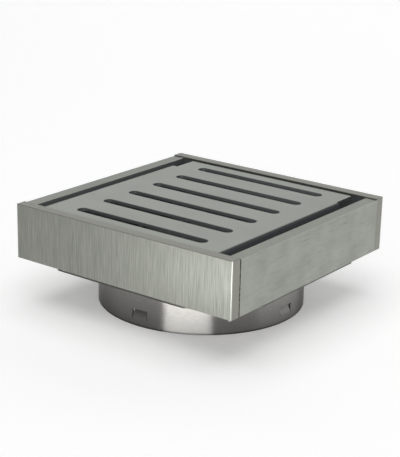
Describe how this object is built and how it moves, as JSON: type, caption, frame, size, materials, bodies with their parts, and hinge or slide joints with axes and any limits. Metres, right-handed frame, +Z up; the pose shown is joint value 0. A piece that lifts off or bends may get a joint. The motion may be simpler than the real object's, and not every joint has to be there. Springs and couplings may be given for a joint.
{
  "type": "square floor waste grate",
  "caption": "Square floor waste: welded flat-bar frame, loose grate folded from sheet with long round-ended slots, and a round outlet collar that drops into a drain pipe.",
  "frame": {"origin": "centre of the collar's lower rim, on the surface that the waste stands on", "axes": "+Z up through the outlet, +X to the right along the front bar, +Y to the back"},
  "size_m": [0.1, 0.1, 0.0391],
  "materials": {
    "frame_bars": "linished, fine straight brush lines",
    "grate_sheet": "satin, very fine brush lines",
    "collar_sheet": "smooth drawn sheet, satin",
    "floor_sheet": "dull mill finish",
    "welds": "rippled weld bead, dull"
  },
  "bodies": {
    "root": {"front_plate": "frame_bars", "back_plate": "frame_bars", "left_plate": "frame_bars", "right_plate": "frame_bars", "floor_plate": "floor_sheet", "corner_welds": "welds", "outlet_collar": "collar_sheet", "grate": "grate_sheet"}
  },
  "joints": []
}
